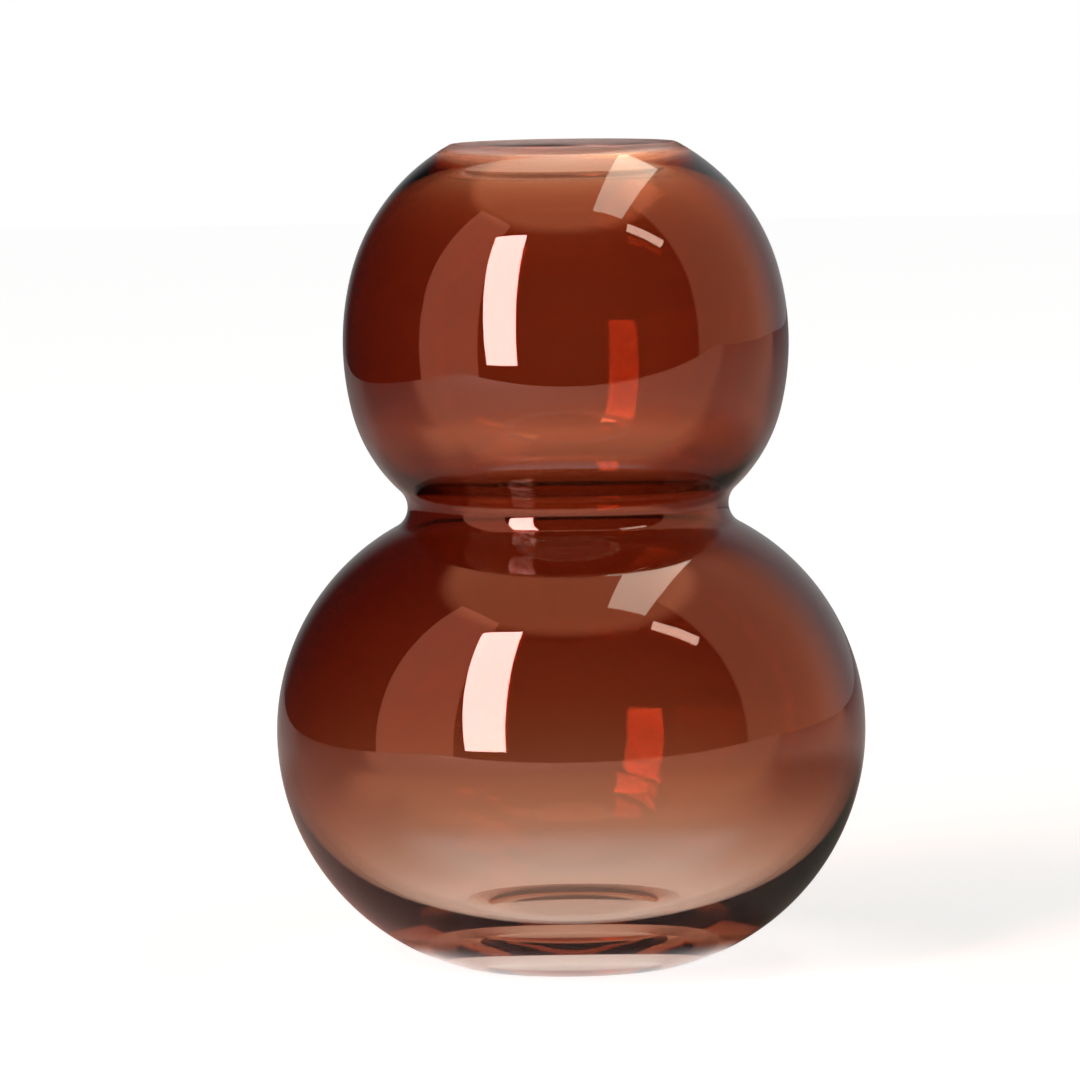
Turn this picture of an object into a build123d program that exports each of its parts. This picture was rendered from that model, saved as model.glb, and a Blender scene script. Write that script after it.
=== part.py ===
from build123d import *
import math
import os

# Gourd vase of cased glass: a clear outer layer over a coloured inner layer.
# Lengths are in millimetres and angles in degrees. The foot stands on z = 0.

# Outside form
height = 200.0
lower_bulb_diameter = 143.6
lower_bulb_level = 57.0
upper_bulb_diameter = 108.4
upper_bulb_level = 151.6
upper_belly_bend = 68.0
upper_belly_half_angle = 14.0
waist_diameter = 78.2
waist_level = 111.9
waist_bend = 5.6

# Lip, measured to the middle of its thickness, and the seam of the two layers on it
mouth_diameter = 53.6
lip_thickness = 4.0
lip_seam_angle = 135.0

# Foot ring with a hollow inside it
foot_diameter = 57.0
heel_bend = 2.0
hollow_diameter = 45.0
hollow_depth = 4.0

# Clear layer
casing_upper_belly = 1.13
casing_waist = 2.0
casing_lower_belly = 2.58
casing_floor = 8.0

# Coloured layer, which thins from the waist down to the floor. Its widest circle sits a little above
# that of the outside, its corner above the floor is a little rounder than the cavity's, and it leaves
# the upper belly's arc at a smaller angle, which thins it above the waist
lining_upper_belly = 0.87
lining_waist = 0.9
lining_lower_belly = 0.67
lining_corner = 0.89
lining_floor = 0.1
seam_lift = 0.78
seam_low_angle = 10.8

# Rounding of the cavity between its wall and its floor
floor_corner_bend = 48.5


def at_angle(centre, radius, degrees):
    angle = math.radians(degrees)
    return (centre[0] + radius * math.cos(angle), centre[1] + radius * math.sin(angle))


def arc(centre, start, end):
    """Shorter arc about a centre; every point is a pair of radius and height."""
    radius = math.dist(centre, start)
    lean_out = start[0] + end[0] - 2 * centre[0]
    lean_up = start[1] + end[1] - 2 * centre[1]
    share = radius / math.hypot(lean_out, lean_up)
    middle = (centre[0] + lean_out * share, centre[1] + lean_up * share)
    return ThreePointArc(*[(out, 0, up) for out, up in (start, middle, end)])


def touching_arc(start, degrees, circle_centre, circle_radius):
    """Centre and end of the arc that leaves a point, where its outward normal is known, and touches a circle.

    The circle's radius is positive where it lies inside the arc, negative where it lies outside,
    and zero where the arc simply ends at a point.
    """
    inward = at_angle((0, 0), -1, degrees)
    gap = (start[0] - circle_centre[0], start[1] - circle_centre[1])
    reach = inward[0] * gap[0] + inward[1] * gap[1]
    radius = (circle_radius**2 - gap[0] ** 2 - gap[1] ** 2) / (2 * (reach + circle_radius))
    centre = (start[0] + inward[0] * radius, start[1] + inward[1] * radius)
    share = radius / math.dist(centre, circle_centre)
    end = tuple(c + (to - c) * share for c, to in zip(centre, circle_centre))
    return centre, end


def side(
    lower_depth, waist_depth, upper_depth, end_centre, end_radius, lift=0, low_angle=upper_belly_half_angle
):
    """Arcs of one glass surface from the widest circle of the lower bulb to the lip, and their two ends.

    The depths say how far the surface lies under the outside of the vase, the lift how far its widest
    circle lies above that of the outside, and the low angle where it leaves the upper belly's arc.
    """
    lower_belly = (lower_bulb_diameter / 2 - lower_depth, lower_bulb_level + lift)
    waist_centre = (waist_diameter / 2 + waist_bend, waist_level)
    waist_radius = waist_bend + waist_depth
    belly_centre = (upper_bulb_diameter / 2 - upper_belly_bend, upper_bulb_level)
    belly_radius = upper_belly_bend - upper_depth
    belly_low = at_angle(belly_centre, belly_radius, -low_angle)
    belly_high = at_angle(belly_centre, belly_radius, upper_belly_half_angle)

    lower_centre, waist_low = touching_arc(lower_belly, 0, waist_centre, -waist_radius)
    upper_centre, waist_high = touching_arc(belly_low, -low_angle, waist_centre, -waist_radius)
    top_centre, top = touching_arc(belly_high, upper_belly_half_angle, end_centre, end_radius)
    arcs = [
        arc(lower_centre, lower_belly, waist_low),
        arc(waist_centre, waist_low, waist_high),
        arc(upper_centre, waist_high, belly_low),
        arc(belly_centre, belly_low, belly_high),
        arc(top_centre, belly_high, top),
    ]
    return arcs, lower_belly, top


def bowl(lower_belly, corner_bend, floor_level):
    """Arcs of one inner surface from the widest circle of the lower bulb down to the axis."""
    corner_centre = (lower_belly[0] - corner_bend, lower_belly[1])
    drop = floor_level - corner_centre[1]
    floor_bend = (corner_bend**2 - corner_centre[0] ** 2 - drop**2) / (2 * (drop + corner_bend))
    floor_centre = (0, floor_level + floor_bend)
    share = corner_bend / (floor_bend - corner_bend)
    meet = tuple(c + (c - off) * share for c, off in zip(corner_centre, floor_centre))
    return [arc(corner_centre, lower_belly, meet), arc(floor_centre, meet, (0, floor_level))]


def turned(outline):
    """Solid of revolution about the upright axis."""
    return revolve(make_face(outline), Axis.Z, 360)


lip_radius = lip_thickness / 2
lip_centre = (mouth_diameter / 2, height - lip_radius)
lip_seam = at_angle(lip_centre, lip_radius, 90 + lip_seam_angle)

wall_upper_belly = casing_upper_belly + lining_upper_belly
wall_waist = casing_waist + lining_waist
wall_lower_belly = casing_lower_belly + lining_lower_belly
wall_floor = casing_floor + lining_floor

outside, outside_low, outside_top = side(0, 0, 0, lip_centre, lip_radius)
seam, seam_low, seam_top = side(
    casing_lower_belly, casing_waist, casing_upper_belly, lip_seam, 0, seam_lift, seam_low_angle
)
inside, inside_low, inside_top = side(wall_lower_belly, wall_waist, wall_upper_belly, lip_centre, -lip_radius)

# Outside of the base: one arc to the heel, the flat foot ring, then the hollow up to the axis
heel_centre = (foot_diameter / 2, heel_bend)
base_centre, heel_top = touching_arc(outside_low, 0, heel_centre, heel_bend)
heel_end = (foot_diameter / 2, 0)
hollow_edge = (hollow_diameter / 2, 0)
hollow_top = (0, hollow_depth)
hollow_bend = (hollow_edge[0] ** 2 + hollow_depth**2) / (2 * hollow_depth)
hollow_centre = (0, hollow_depth - hollow_bend)
base = [
    arc(base_centre, outside_low, heel_top),
    arc(heel_centre, heel_top, heel_end),
    Line((heel_end[0], 0, 0), (hollow_edge[0], 0, 0)),
    arc(hollow_centre, hollow_edge, hollow_top),
]

# The two layers share the seam surface, so they stay fused at every size
seam_bowl = bowl(seam_low, floor_corner_bend + lining_corner, casing_floor)
inside_bowl = bowl(inside_low, floor_corner_bend, wall_floor)
casing_axis = Line((0, 0, hollow_depth), (0, 0, casing_floor))
lining_axis = Line((0, 0, casing_floor), (0, 0, wall_floor))
casing_lip = arc(lip_centre, outside_top, lip_seam)
lining_lip = arc(lip_centre, lip_seam, inside_top)

clear_casing = turned(outside + [casing_lip] + seam + seam_bowl + [casing_axis] + base)
tinted_lining = turned(seam + [lining_lip] + inside + inside_bowl + [lining_axis] + seam_bowl)

os.makedirs("parts", exist_ok=True)
export_step(clear_casing, "parts/clear_casing.step")
export_step(tinted_lining, "parts/tinted_lining.step")
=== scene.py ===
import math
import bpy
from mathutils import Matrix, Vector


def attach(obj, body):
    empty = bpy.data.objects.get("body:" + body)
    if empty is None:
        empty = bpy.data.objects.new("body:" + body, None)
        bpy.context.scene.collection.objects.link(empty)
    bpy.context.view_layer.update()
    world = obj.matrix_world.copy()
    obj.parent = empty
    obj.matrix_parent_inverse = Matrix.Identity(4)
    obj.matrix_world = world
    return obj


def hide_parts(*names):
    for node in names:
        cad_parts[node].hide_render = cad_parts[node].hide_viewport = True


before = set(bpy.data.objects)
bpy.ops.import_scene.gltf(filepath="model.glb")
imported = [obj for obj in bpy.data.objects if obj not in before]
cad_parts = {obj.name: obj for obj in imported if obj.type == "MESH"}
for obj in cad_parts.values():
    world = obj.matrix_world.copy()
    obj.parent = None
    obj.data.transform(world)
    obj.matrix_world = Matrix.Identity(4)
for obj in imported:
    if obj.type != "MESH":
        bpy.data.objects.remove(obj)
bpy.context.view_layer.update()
scene = bpy.context.scene
MM = 0.001

# Outside form, in millimetres and degrees, as in the solids
height = 200.0
lower_bulb_diameter = 143.6
lower_bulb_level = 57.0
upper_bulb_diameter = 108.4
upper_bulb_level = 151.6
upper_belly_bend = 68.0
upper_belly_half_angle = 14.0
waist_diameter = 78.2
waist_level = 111.9
waist_bend = 5.6
mouth_diameter = 53.6
lip_thickness = 4.0
lip_seam_angle = 135.0
foot_diameter = 57.0
heel_bend = 2.0
hollow_diameter = 45.0
hollow_depth = 4.0

# Clear layer, coloured layer and the rounding of the cavity above its floor
casing_upper_belly = 1.13
casing_waist = 2.0
casing_lower_belly = 2.58
casing_floor = 8.0
lining_upper_belly = 0.87
lining_waist = 0.9
lining_lower_belly = 0.67
lining_corner = 0.89
lining_floor = 0.1
seam_lift = 0.78
seam_low_angle = 10.8
floor_corner_bend = 48.5

# Clear glass left between the coloured layer and the cavity, so that no two faces coincide
skin = 0.02

# Spacing of the points on large, tight and small arcs, points round the axis, and the angle of a sharp edge
coarse_step = 1.0
waist_step = 0.5
fine_step = 0.3
fewest_steps = 6
segments = 224
sharp_angle = 25

# Bend of light in the glass, and the light kept through one millimetre of the coloured layer
glass_refraction = 1.52
kept = (0.34, 0.09, 0.039)

white = (1, 1, 1)


def at_angle(centre, radius, degrees):
    angle = math.radians(degrees)
    return (centre[0] + radius * math.cos(angle), centre[1] + radius * math.sin(angle))


def arc(centre, start, end, step=coarse_step):
    """Points of the shorter arc about a centre, without its last point, about one step apart."""
    first = math.atan2(start[1] - centre[1], start[0] - centre[0])
    last = math.atan2(end[1] - centre[1], end[0] - centre[0])
    turn = (last - first + math.pi) % (2 * math.pi) - math.pi
    radius = math.dist(centre, start)
    count = max(fewest_steps, round(abs(turn) * radius / step))
    return [at_angle(centre, radius, math.degrees(first + turn * i / count)) for i in range(count)]


def touching_arc(start, degrees, circle_centre, circle_radius):
    """Centre and end of the arc that leaves a point with a known outward normal and touches a circle."""
    inward = at_angle((0, 0), -1, degrees)
    gap = (start[0] - circle_centre[0], start[1] - circle_centre[1])
    reach = inward[0] * gap[0] + inward[1] * gap[1]
    radius = (circle_radius**2 - gap[0] ** 2 - gap[1] ** 2) / (2 * (reach + circle_radius))
    centre = (start[0] + inward[0] * radius, start[1] + inward[1] * radius)
    share = radius / math.dist(centre, circle_centre)
    return centre, tuple(c + (to - c) * share for c, to in zip(centre, circle_centre))


def side(
    lower_depth, waist_depth, upper_depth, end_centre, end_radius, lift=0, low_angle=upper_belly_half_angle
):
    """Points of one glass surface from the widest circle of the lower bulb up to the lip."""
    lower_belly = (lower_bulb_diameter / 2 - lower_depth, lower_bulb_level + lift)
    waist_centre = (waist_diameter / 2 + waist_bend, waist_level)
    waist_radius = waist_bend + waist_depth
    belly_centre = (upper_bulb_diameter / 2 - upper_belly_bend, upper_bulb_level)
    belly_radius = upper_belly_bend - upper_depth
    belly_low = at_angle(belly_centre, belly_radius, -low_angle)
    belly_high = at_angle(belly_centre, belly_radius, upper_belly_half_angle)
    lower_centre, waist_low = touching_arc(lower_belly, 0, waist_centre, -waist_radius)
    upper_centre, waist_high = touching_arc(belly_low, -low_angle, waist_centre, -waist_radius)
    top_centre, top = touching_arc(belly_high, upper_belly_half_angle, end_centre, end_radius)
    return (
        arc(lower_centre, lower_belly, waist_low)
        + arc(waist_centre, waist_low, waist_high, waist_step)
        + arc(upper_centre, waist_high, belly_low)
        + arc(belly_centre, belly_low, belly_high)
        + arc(top_centre, belly_high, top)
        + [top]
    )


def bowl(lower_belly, corner_bend, floor_level):
    """Points of one inner surface from the widest circle of the lower bulb down to the axis."""
    corner_centre = (lower_belly[0] - corner_bend, lower_belly[1])
    drop = floor_level - corner_centre[1]
    floor_bend = (corner_bend**2 - corner_centre[0] ** 2 - drop**2) / (2 * (drop + corner_bend))
    floor_centre = (0, floor_level + floor_bend)
    share = corner_bend / (floor_bend - corner_bend)
    meet = tuple(c + (c - off) * share for c, off in zip(corner_centre, floor_centre))
    middle = (0, floor_level)
    return arc(corner_centre, lower_belly, meet) + arc(floor_centre, meet, middle) + [middle]


def lathe(name, outline):
    """Closed mesh turned about the upright axis, from an outline that starts and ends on it."""
    points = []
    for out, up in outline[1:-1]:
        for i in range(segments):
            angle = 2 * math.pi * i / segments
            points.append((out * MM * math.cos(angle), out * MM * math.sin(angle), up * MM))
    rows = len(outline) - 2
    faces = []
    for row in range(rows - 1):
        low = row * segments
        high = low + segments
        for i in range(segments):
            after = (i + 1) % segments
            faces.append((low + i, low + after, high + after, high + i))
    first = len(points)
    points += [(0, 0, outline[0][1] * MM), (0, 0, outline[-1][1] * MM)]
    end = (rows - 1) * segments
    for i in range(segments):
        after = (i + 1) % segments
        faces.append((first, after, i))
        faces.append((end + i, end + after, first + 1))
    mesh = bpy.data.meshes.new(name)
    mesh.from_pydata(points, [], faces)
    mesh.shade_smooth()
    mesh.set_sharp_from_angle(angle=math.radians(sharp_angle))
    piece = bpy.data.objects.new(name, mesh)
    scene.collection.objects.link(piece)
    return piece


def node(tree, kind, **values):
    """New shader node with the named inputs set."""
    made = tree.nodes.new(kind)
    for name, value in values.items():
        made.inputs[name.replace("_", " ")].default_value = value
    return made


def sums(tree, operation, *values):
    """One number made from several, two at a time."""
    total = values[0]
    for value in values[1:]:
        step = tree.nodes.new("ShaderNodeMath")
        step.operation = operation
        tree.links.new(total, step.inputs[0])
        tree.links.new(value, step.inputs[1])
        total = step.outputs[0]
    return total


def change(tree, value, start, end, low, high, way="SMOOTHSTEP"):
    """Level that goes from low to high while another value goes from start to end."""
    made = node(tree, "ShaderNodeMapRange", From_Min=start, From_Max=end, To_Min=low, To_Max=high)
    made.interpolation_type = way
    tree.links.new(value, made.inputs["Value"])
    return made.outputs["Result"]


def ramp(tree, value, stops):
    """Grey level read off a list of positions and levels."""
    made = tree.nodes.new("ShaderNodeValToRGB")
    elements = made.color_ramp.elements
    elements.remove(elements[1])
    for count, (position, grey) in enumerate(stops):
        stop = elements.new(position) if count else elements[0]
        stop.position = position
        stop.color = (grey, grey, grey, 1)
    tree.links.new(value, made.inputs["Fac"])
    return made.outputs["Color"]


def glow(tree, kind, colour, strength):
    """Light given off by a surface or the world."""
    made = node(tree, kind, Color=(*colour, 1))
    tree.links.new(strength, made.inputs["Strength"])
    return made.outputs[0]


def added(tree, *shaders):
    """Shaders laid over each other."""
    total = shaders[0]
    for each in shaders[1:]:
        both = tree.nodes.new("ShaderNodeAddShader")
        tree.links.new(total, both.inputs[0])
        tree.links.new(each, both.inputs[1])
        total = both.outputs[0]
    return total


def chosen(tree, choice, otherwise, shader, kind):
    """Output that shows one shader where the choice is 1 and another where it is 0."""
    mix = tree.nodes.new("ShaderNodeMixShader")
    tree.links.new(choice, mix.inputs["Fac"])
    tree.links.new(otherwise, mix.inputs[1])
    tree.links.new(shader, mix.inputs[2])
    out = tree.nodes.new(kind)
    tree.links.new(mix.outputs[0], out.inputs["Surface"])


def turning_marks(tree, round_about, up_and_down):
    """Noise drawn out round the axis, as the turning of the hot glass leaves it."""
    place = tree.nodes.new("ShaderNodeTexCoord")
    stretch = node(tree, "ShaderNodeMapping", Scale=(round_about, round_about, up_and_down))
    noise = node(tree, "ShaderNodeTexNoise", Scale=1.0, Detail=2.0, Roughness=0.4)
    tree.links.new(place.outputs["Object"], stretch.inputs["Vector"])
    tree.links.new(stretch.outputs["Vector"], noise.inputs["Vector"])
    return noise.outputs["Fac"]


def glass(name, refraction, pale, deep):
    """Smooth glass whose colour wavers a little between two near tones."""
    material = bpy.data.materials.new(name)
    material.use_nodes = True
    tree = material.node_tree
    shader = tree.nodes["Principled BSDF"]
    shader.inputs["Roughness"].default_value = 0.0
    shader.inputs["IOR"].default_value = refraction
    shader.inputs["Transmission Weight"].default_value = 1.0
    tones = tree.nodes.new("ShaderNodeValToRGB")
    for stop, position, colour in zip(tones.color_ramp.elements, (0.35, 0.65), (deep, pale)):
        stop.position = position
        stop.color = (*colour, 1)
    tree.links.new(turning_marks(tree, 14, 90), tones.inputs["Fac"])
    tree.links.new(tones.outputs["Color"], shader.inputs["Base Color"])
    return material


def clear_glass():
    """Clear glass with faint marks, scuffed on the foot ring and worn on the top of the lip."""
    material = glass("clear glass", glass_refraction, white, (0.975, 0.98, 0.975))
    tree = material.node_tree
    shader = tree.nodes["Principled BSDF"]
    bump = node(tree, "ShaderNodeBump", Strength=1.0, Distance=0.02 * MM)
    tree.links.new(turning_marks(tree, 9, 55), bump.inputs["Height"])
    tree.links.new(bump.outputs["Normal"], shader.inputs["Normal"])
    place = tree.nodes.new("ShaderNodeTexCoord")
    parts = tree.nodes.new("ShaderNodeSeparateXYZ")
    tree.links.new(place.outputs["Object"], parts.inputs["Vector"])
    level = parts.outputs["Z"]
    scuff = change(tree, level, 0.05 * MM, 0.1 * MM, 0.25, 0.0, "LINEAR")
    wear = change(tree, level, (height - 2.4) * MM, (height - 0.9) * MM, 0.0, 0.8, "LINEAR")
    tree.links.new(sums(tree, "ADD", scuff, wear), shader.inputs["Roughness"])
    return material


def tinted_glass():
    """Sheet of colour inside the clear glass, which bends no light of its own and only absorbs it."""
    material = glass("tinted glass", 1.0, white, (0.985, 0.975, 0.97))
    tree = material.node_tree
    absorption = tree.nodes.new("ShaderNodeVolumeAbsorption")
    loss = [-math.log(share) / MM for share in kept]
    absorption.inputs["Density"].default_value = max(loss)
    absorption.inputs["Color"].default_value = (*[1 - each / max(loss) for each in loss], 1)
    tree.links.new(absorption.outputs[0], tree.nodes["Material Output"].inputs["Volume"])
    return material


def floor_paper():
    """White to the eye; pale through the glass, with a painted pool of light under the foot and painted
    shade in a ring round the vase; in reflections, painted reflections of the floor of a dim warm room.
    """
    material = bpy.data.materials.new("floor paper")
    material.use_nodes = True
    tree = material.node_tree
    tree.nodes.clear()
    path = tree.nodes.new("ShaderNodeLightPath").outputs
    place = tree.nodes.new("ShaderNodeNewGeometry").outputs["Position"]
    length = tree.nodes.new("ShaderNodeVectorMath")
    length.operation = "LENGTH"
    tree.links.new(place, length.inputs[0])
    away = length.outputs["Value"]
    parts = tree.nodes.new("ShaderNodeSeparateXYZ")
    tree.links.new(place, parts.inputs["Vector"])
    across = parts.outputs["X"]
    back = parts.outputs["Y"]

    # Levels by the distance from the axis, in metres
    to_the_eye = ramp(tree, away, ((0.03, 0.89), (0.1, 0.76), (0.8, 0.965)))
    # Through the glass: a painted pool of light under the foot, then painted shade in a ring round the vase
    # that fades further off
    caustic_pool_under_foot = ((0.015, 0.74), (0.022, 1.0), (0.03, 0.95), (0.06, 0.76))
    shadow_ring_further_out = ((0.2, 0.56), (0.35, 0.58), (0.5, 0.66), (1.0, 0.95))
    through_glass = ramp(tree, away, caustic_pool_under_foot + shadow_ring_further_out)

    # Painted warm reflections of the floor, glowing only for reflected rays
    in_front = sums(
        tree,
        "MULTIPLY",
        change(tree, back, -0.12, -0.04, 1, 0),
        change(tree, away, 0.095, 0.14, 0, 1),
        change(tree, away, 0.2, 0.35, 1.3, 0.85),
    )
    on_the_left = sums(
        tree,
        "MULTIPLY",
        change(tree, across, -0.2, -0.08, 1.1, 0),
        change(tree, away, 0.095, 0.14, 0, 1),
        change(tree, away, 0.25, 0.36, 1, 0),
        change(tree, back, -0.08, 0.02, 1, 0),
    )
    on_the_right = sums(
        tree,
        "MULTIPLY",
        change(tree, sums(tree, "SUBTRACT", back, across), -0.35, 0.1, 0.4, 0),
        change(tree, away, 0.26, 0.5, 0, 1),
    )
    warm = sums(tree, "MAXIMUM", in_front, on_the_right, on_the_left)

    # Painted neutral reflections, glowing only for reflected rays: far off except on the left, close to the
    # foot, and just in front of the vase
    behind = change(tree, sums(tree, "ADD", back, across), -0.2, 0.05, 0.1, 1)
    not_left = change(tree, across, -0.3, -0.12, 0.1, 1)
    far_off = sums(
        tree, "MULTIPLY", change(tree, away, 0.25, 0.45, 0, 0.16), sums(tree, "MAXIMUM", behind, not_left)
    )
    by_the_foot = change(tree, away, 0.034, 0.043, 0.9, 0)
    before_the_vase = sums(
        tree,
        "MULTIPLY",
        change(tree, back, -0.08, -0.05, 1.1, 0),
        change(tree, away, 0.07, 0.085, 0, 1),
        change(tree, away, 0.1, 0.125, 1, 0),
    )
    neutral = sums(tree, "ADD", far_off, by_the_foot, before_the_vase)

    paper = node(tree, "ShaderNodeBsdfDiffuse", Color=(0.27, 0.3, 0.3, 1))
    seen = sums(tree, "MULTIPLY", to_the_eye, path["Is Camera Ray"])
    # The warm and neutral painted reflections glow only for reflected rays
    warm_seen = sums(tree, "MULTIPLY", warm, path["Is Glossy Ray"])
    neutral_seen = sums(tree, "MULTIPLY", neutral, path["Is Glossy Ray"])
    lit = added(
        tree,
        paper.outputs[0],
        glow(tree, "ShaderNodeEmission", white, seen),
        glow(tree, "ShaderNodeEmission", (1.8, 0.62, 0.3), warm_seen),
        glow(tree, "ShaderNodeEmission", white, neutral_seen),
    )
    pale = glow(tree, "ShaderNodeEmission", white, through_glass)
    chosen(tree, path["Is Transmission Ray"], lit, pale, "ShaderNodeOutputMaterial")
    return material


def studio():
    """White behind the vase and through it, a dim room elsewhere, and in reflections only a painted warm
    ceiling and a painted lit wall on the right.
    """
    world = bpy.data.worlds.new("studio")
    world.use_nodes = True
    tree = world.node_tree
    tree.nodes.clear()
    path = tree.nodes.new("ShaderNodeLightPath").outputs
    way = tree.nodes.new("ShaderNodeTexCoord").outputs["Generated"]

    def towards(direction, start, end, low, high):
        """Level that changes with how far a ray of the world leans towards a direction."""
        lean = tree.nodes.new("ShaderNodeVectorMath")
        lean.operation = "DOT_PRODUCT"
        tree.links.new(way, lean.inputs[0])
        lean.inputs[1].default_value = direction
        return change(tree, lean.outputs["Value"], start, end, low, high)

    back_wall = towards((0.35, 0.937, 0), 0.65, 0.95, 0.02, 0.35)
    # Painted reflections that only glossy rays see: a warm glow overhead and a lit wall on the right
    ceiling_reflection = sums(tree, "MULTIPLY", path["Is Glossy Ray"], towards((0, 0, 1), 0.8, 0.87, 0.0, 1.0))
    right_wall_reflection = sums(
        tree,
        "MULTIPLY",
        path["Is Glossy Ray"],
        towards((0.318, 0.948, 0), 0.0, 0.03, 0.0, 1.0),
        towards((1, 0, 0), 0.3, 0.5, 0.0, 1.0),
        towards((0, 1, 0), 0.4, 0.85, 1.0, 0.0),
    )
    room = added(
        tree,
        glow(tree, "ShaderNodeBackground", white, back_wall),
        glow(tree, "ShaderNodeBackground", (2.2, 0.75, 0.35), ceiling_reflection),
        glow(tree, "ShaderNodeBackground", (1.4, 0.55, 0.3), right_wall_reflection),
    )
    backdrop = node(tree, "ShaderNodeBackground", Color=(*white, 1), Strength=1.0)
    straight_on = sums(tree, "MAXIMUM", path["Is Camera Ray"], path["Is Transmission Ray"])
    chosen(tree, straight_on, room, backdrop.outputs[0], "ShaderNodeOutputWorld")
    return world


def softbox(name, place, aim, across, width, tall, radiance, colour):
    """Flat rectangular lamp with an even face, turned to a point, with one side along a given direction."""
    lamp = bpy.data.lights.new(name, "AREA")
    lamp.shape = "RECTANGLE"
    lamp.size = width
    lamp.size_y = tall
    lamp.color = colour
    lamp.energy = radiance * math.pi * width * tall
    box = bpy.data.objects.new(name, lamp)
    side_way = Vector(across).normalized()
    back_way = Vector(place) - Vector(aim)
    back_way = (back_way - side_way * back_way.dot(side_way)).normalized()
    up_way = back_way.cross(side_way)
    turn = Matrix((side_way, up_way, back_way)).transposed().to_4x4()
    box.matrix_world = Matrix.Translation(place) @ turn
    scene.collection.objects.link(box)


lip_radius = lip_thickness / 2
lip_centre = (mouth_diameter / 2, height - lip_radius)
lip_top = (mouth_diameter / 2, height)
wall_upper_belly = casing_upper_belly + lining_upper_belly
wall_waist = casing_waist + lining_waist
wall_lower_belly = casing_lower_belly + lining_lower_belly
wall_floor = casing_floor + lining_floor

# Whole wall of glass: hollow, foot ring, heel, outside, lip, inside and floor
outside = side(0, 0, 0, lip_centre, lip_radius)
inside = side(wall_lower_belly, wall_waist, wall_upper_belly, lip_centre, -lip_radius)
heel_centre = (foot_diameter / 2, heel_bend)
base_centre, heel_top = touching_arc(outside[0], 0, heel_centre, heel_bend)
heel_end = (foot_diameter / 2, 0)
hollow_edge = (hollow_diameter / 2, 0)
hollow_top = (0, hollow_depth)
hollow_bend = (hollow_edge[0] ** 2 + hollow_depth**2) / (2 * hollow_depth)
hollow_centre = (0, hollow_depth - hollow_bend)
wall_outline = (
    arc(hollow_centre, hollow_top, hollow_edge)
    + [hollow_edge]
    + arc(heel_centre, heel_end, heel_top, fine_step)
    + arc(base_centre, heel_top, outside[0])
    + outside[:-1]
    + arc(lip_centre, outside[-1], lip_top, fine_step)
    + arc(lip_centre, lip_top, inside[-1], fine_step)
    + inside[:0:-1]
    + bowl(inside[0], floor_corner_bend, wall_floor)
)

# Coloured layer: a thin closed shell inside that wall, just under the cavity's surface
seam_end = at_angle(lip_centre, lip_radius - skin, 90 + lip_seam_angle)
seam = side(casing_lower_belly, casing_waist, casing_upper_belly, seam_end, 0, seam_lift, seam_low_angle)
face = side(
    wall_lower_belly - skin, wall_waist - skin, wall_upper_belly - skin, lip_centre, -(lip_radius - skin)
)
seam_bowl = bowl(seam[0], floor_corner_bend + lining_corner, casing_floor)
face_bowl = bowl(face[0], floor_corner_bend + skin, wall_floor - skin)
lining_outline = (
    seam_bowl[:0:-1]
    + seam[:-1]
    + arc(lip_centre, seam_end, face[-1], fine_step)
    + face[:0:-1]
    + face_bowl
)

casing = lathe("casing_glass", wall_outline)
casing.data.materials.append(clear_glass())
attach(casing, "root")
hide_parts("clear_casing")

lining = lathe("lining_glass", lining_outline)
lining.data.materials.append(tinted_glass())
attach(lining, "root")
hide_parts("tinted_lining")

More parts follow.
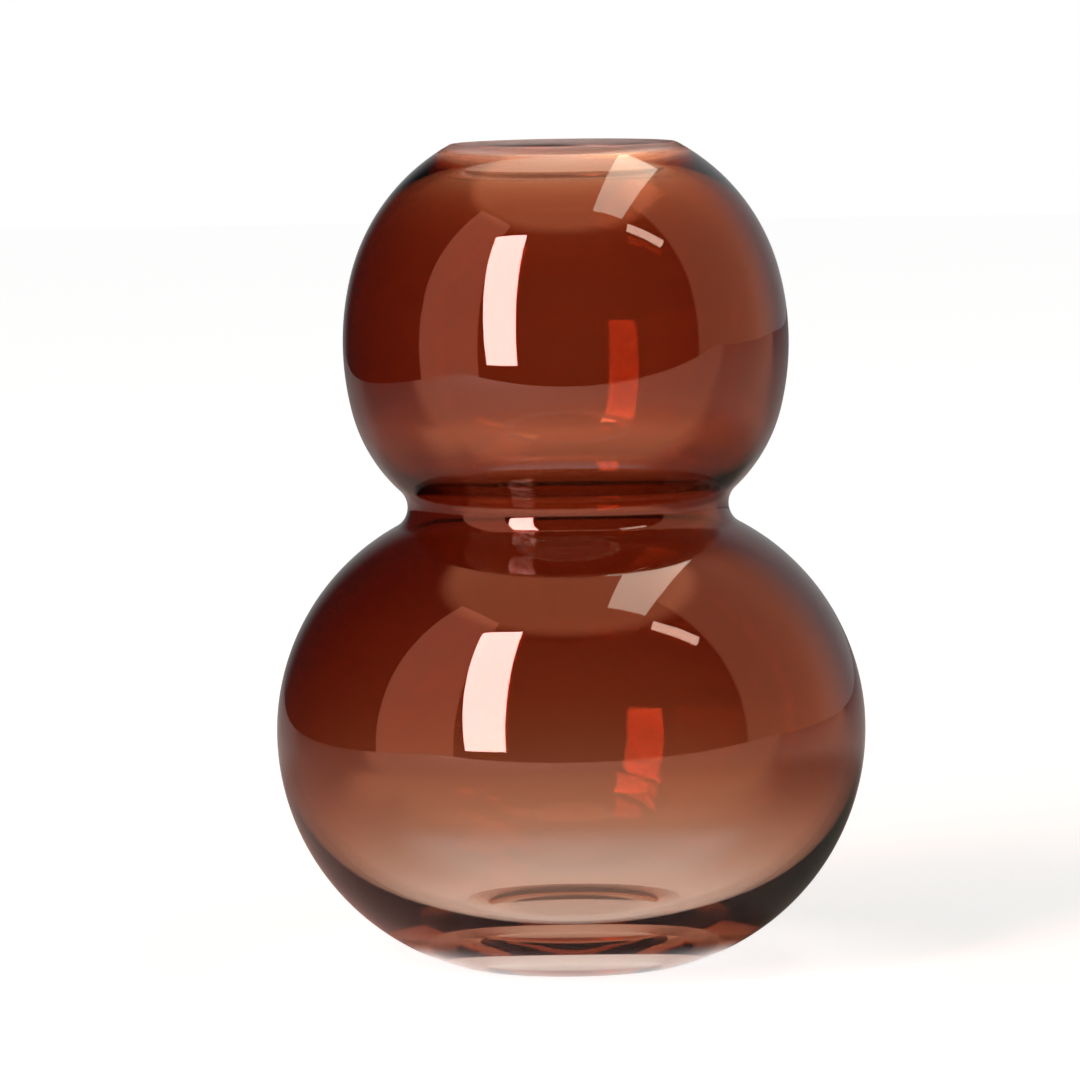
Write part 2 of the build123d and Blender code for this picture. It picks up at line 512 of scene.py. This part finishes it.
# Floor, in metres, a hair under the foot ring
floor_level = -0.0003
floor_left = -0.75
floor_front = -0.55
floor_reach = 4.0
floor_corners = [
    (floor_left, floor_front, floor_level),
    (floor_reach, floor_front, floor_level),
    (floor_reach, floor_reach, floor_level),
    (floor_left, floor_reach, floor_level),
]
floor_mesh = bpy.data.meshes.new("floor")
floor_mesh.from_pydata(floor_corners, [], [(0, 1, 2, 3)])
floor_mesh.materials.append(floor_paper())
floor = bpy.data.objects.new("floor", floor_mesh)
scene.collection.objects.link(floor)

scene.world = studio()

# Lamps, in metres: a tall strip in front on the left, a panel overhead, a short tube and a dim panel
softbox(
    "strip",
    place=(-0.48, -0.68, 0.506),
    aim=(0, 0, 0.25),
    across=(0.953, -0.303, 0),
    width=0.28,
    tall=1.0,
    radiance=34,
    colour=(1, 0.5, 0.45),
)
softbox(
    "overhead",
    place=(0.6, 0.165, 1.65),
    aim=(0.6, 0.165, 0),
    across=(1, -0.08, 0),
    width=0.4,
    tall=1.47,
    radiance=4.9,
    colour=(1, 0.92, 0.74),
)
softbox(
    "tube",
    place=(1.17, -0.7, 1.58),
    aim=(0, 0, 0.15),
    across=(0.244, 0.073, -0.163),
    width=0.6,
    tall=0.17,
    radiance=11,
    colour=(1, 0.65, 0.5),
)
softbox(
    "left panel",
    place=(-0.928, -0.495, 0.8),
    aim=(0, 0, 0.8),
    across=(0.43, -0.9, 0),
    width=0.65,
    tall=2.0,
    radiance=2.3,
    colour=(1, 0.34, 0.2),
)

# Camera, placed from the outline of the vase in the photograph: metres, radians and pixels
camera_distance = 1.8794
camera_height = 0.2661
camera_pitch = 0.0864
camera_pan = -0.0037
camera_roll = 0.0146
sensor_width = 36
focal_pixels = 7743.5
photo_pixels = 1080
camera_data = bpy.data.cameras.new("camera")
camera_data.sensor_width = sensor_width
camera_data.lens = sensor_width * focal_pixels / photo_pixels
camera_data.clip_end = 30
camera = bpy.data.objects.new("camera", camera_data)
camera_turn = Matrix.Rotation(-camera_pan, 4, "Z")
camera_turn = camera_turn @ Matrix.Rotation(math.pi / 2 - camera_pitch, 4, "X")
camera_turn = camera_turn @ Matrix.Rotation(-camera_roll, 4, "Z")
camera.matrix_world = Matrix.Translation((0, -camera_distance, camera_height)) @ camera_turn
scene.collection.objects.link(camera)
scene.camera = camera

scene.view_settings.view_transform = "Standard"
scene.cycles.max_bounces = 32
scene.cycles.transmission_bounces = 32
scene.cycles.glossy_bounces = 9
